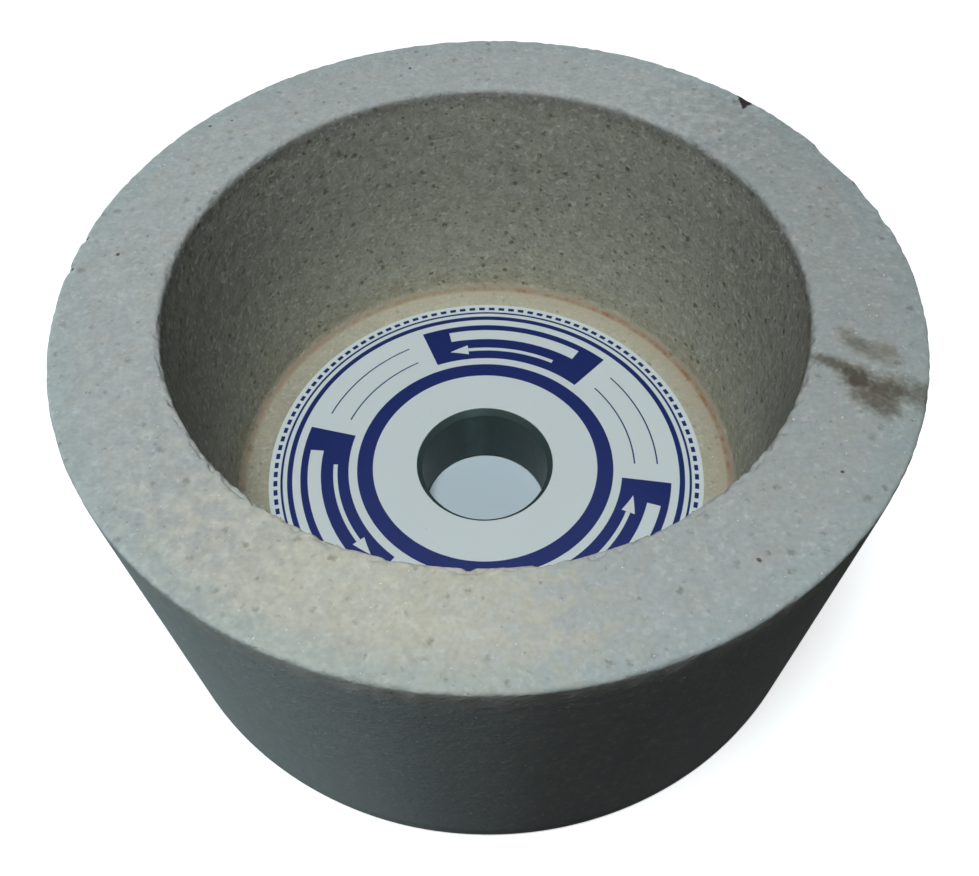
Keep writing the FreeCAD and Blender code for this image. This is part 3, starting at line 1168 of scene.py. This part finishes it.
def add_lamps(stage):
    """One lamp high over the front left, and low ones at the left and behind, mostly for the outside."""
    add_lamp("key", KEY_TURN, KEY_LIFT, KEY_SIZE, KEY_SIZE, stage.key_power, KEY_COLOUR)
    for number, (turn, colour) in enumerate(CARD_LAMPS):
        add_lamp(f"card_{number}", turn, 0, CARD_WIDTH, CARD_HEIGHT, stage.card_power, colour)


def add_camera(stage):
    """The photo's camera: pitched down, turned, rolled and shifted to the photo's optical centre."""
    pitch, yaw, roll = stage.camera_pitch, stage.camera_yaw, stage.camera_roll
    ahead = Vector((math.sin(yaw) * math.cos(pitch), math.cos(yaw) * math.cos(pitch), -math.sin(pitch)))
    right = Vector((math.cos(yaw), -math.sin(yaw), 0))
    up = right.cross(ahead)
    rolled_right = right * math.cos(roll) + up * math.sin(roll)
    rolled_up = up * math.cos(roll) - right * math.sin(roll)
    camera = bpy.data.cameras.new("photo_camera")
    camera.lens = stage.focal_pixels / IMAGE_WIDTH * camera.sensor_width
    camera.shift_x = (IMAGE_WIDTH / 2 - stage.centre_x) / IMAGE_WIDTH
    camera.shift_y = (stage.centre_y - IMAGE_HEIGHT / 2) / IMAGE_WIDTH
    camera.clip_start = 1 * MM
    holder = bpy.data.objects.new("photo_camera", camera)
    turn = Matrix((rolled_right, rolled_up, -ahead)).transposed().to_4x4()
    holder.matrix_world = Matrix.Translation((0, -stage.camera_distance, stage.camera_height)) @ turn
    bpy.context.scene.collection.objects.link(holder)
    bpy.context.scene.camera = holder


# Operators


class WHEEL_OT_abrasive_cup(bpy.types.Operator):
    """Build the abrasive cup"""

    bl_idname = "wheel.abrasive_cup"
    bl_label = "Abrasive Cup"

    def execute(self, context):
        cup = context.scene.wheel_cup
        mesh = closed_mesh("abrasive_cup_surface", cup_surface(cup))
        show_piece("abrasive_cup_surface", mesh, abrasive_finish(cup), "abrasive_cup")
        return {"FINISHED"}


class WHEEL_OT_bore_bush(bpy.types.Operator):
    """Build the bush in the bore"""

    bl_idname = "wheel.bore_bush"
    bl_label = "Bore Bush"

    def execute(self, context):
        bush = context.scene.wheel_bush
        mesh = closed_mesh("bore_bush_surface", bush_surface(bush))
        show_piece("bore_bush_surface", mesh, bush_finish(bush), "bore_bush")
        return {"FINISHED"}


class WHEEL_OT_paper_label(bpy.types.Operator):
    """Build the printed paper label"""

    bl_idname = "wheel.paper_label"
    bl_label = "Paper Label"

    def execute(self, context):
        label = context.scene.wheel_label
        mesh = closed_mesh("paper_label_surface", label_surface(label))
        show_piece("paper_label_surface", mesh, label_finish(label), "paper_label")
        return {"FINISHED"}


class WHEEL_OT_stage(bpy.types.Operator):
    """Build the floor, the light and the camera"""

    bl_idname = "wheel.stage"
    bl_label = "Stage"

    def execute(self, context):
        stage = context.scene.wheel_stage
        floor = bpy.data.objects.new("studio_floor", floor_mesh(stage))
        floor.data.materials.append(floor_finish(stage))
        context.scene.collection.objects.link(floor)
        light_world(stage)
        add_lamps(stage)
        add_camera(stage)
        context.scene.view_settings.view_transform = "Standard"
        return {"FINISHED"}


class WHEEL_PT_pieces(bpy.types.Panel):
    """Lists the pieces of the wheel"""

    bl_label = "Cup Wheel"
    bl_idname = "WHEEL_PT_pieces"
    bl_space_type = "VIEW_3D"
    bl_region_type = "UI"
    bl_category = "Cup Wheel"

    def draw(self, context):
        for operator in OPERATORS:
            self.layout.operator(operator.bl_idname)


SETTINGS = {
    "wheel_cup": CupSettings,
    "wheel_bush": BushSettings,
    "wheel_label": LabelSettings,
    "wheel_stage": StageSettings,
}
OPERATORS = (WHEEL_OT_abrasive_cup, WHEEL_OT_bore_bush, WHEEL_OT_paper_label, WHEEL_OT_stage)


def register():
    """Makes the settings, operators and panel known."""
    for kind in (*SETTINGS.values(), *OPERATORS, WHEEL_PT_pieces):
        bpy.utils.register_class(kind)
    for name, kind in SETTINGS.items():
        setattr(bpy.types.Scene, name, PointerProperty(type=kind))


def unregister():
    """Takes them away again."""
    for name in SETTINGS:
        delattr(bpy.types.Scene, name)
    for kind in (WHEEL_PT_pieces, *reversed(OPERATORS), *SETTINGS.values()):
        bpy.utils.unregister_class(kind)


def main():
    """Builds every piece and the stage."""
    register()
    bpy.ops.wheel.abrasive_cup()
    bpy.ops.wheel.bore_bush()
    bpy.ops.wheel.paper_label()
    bpy.ops.wheel.stage()


if __name__ == "__main__":
    main()
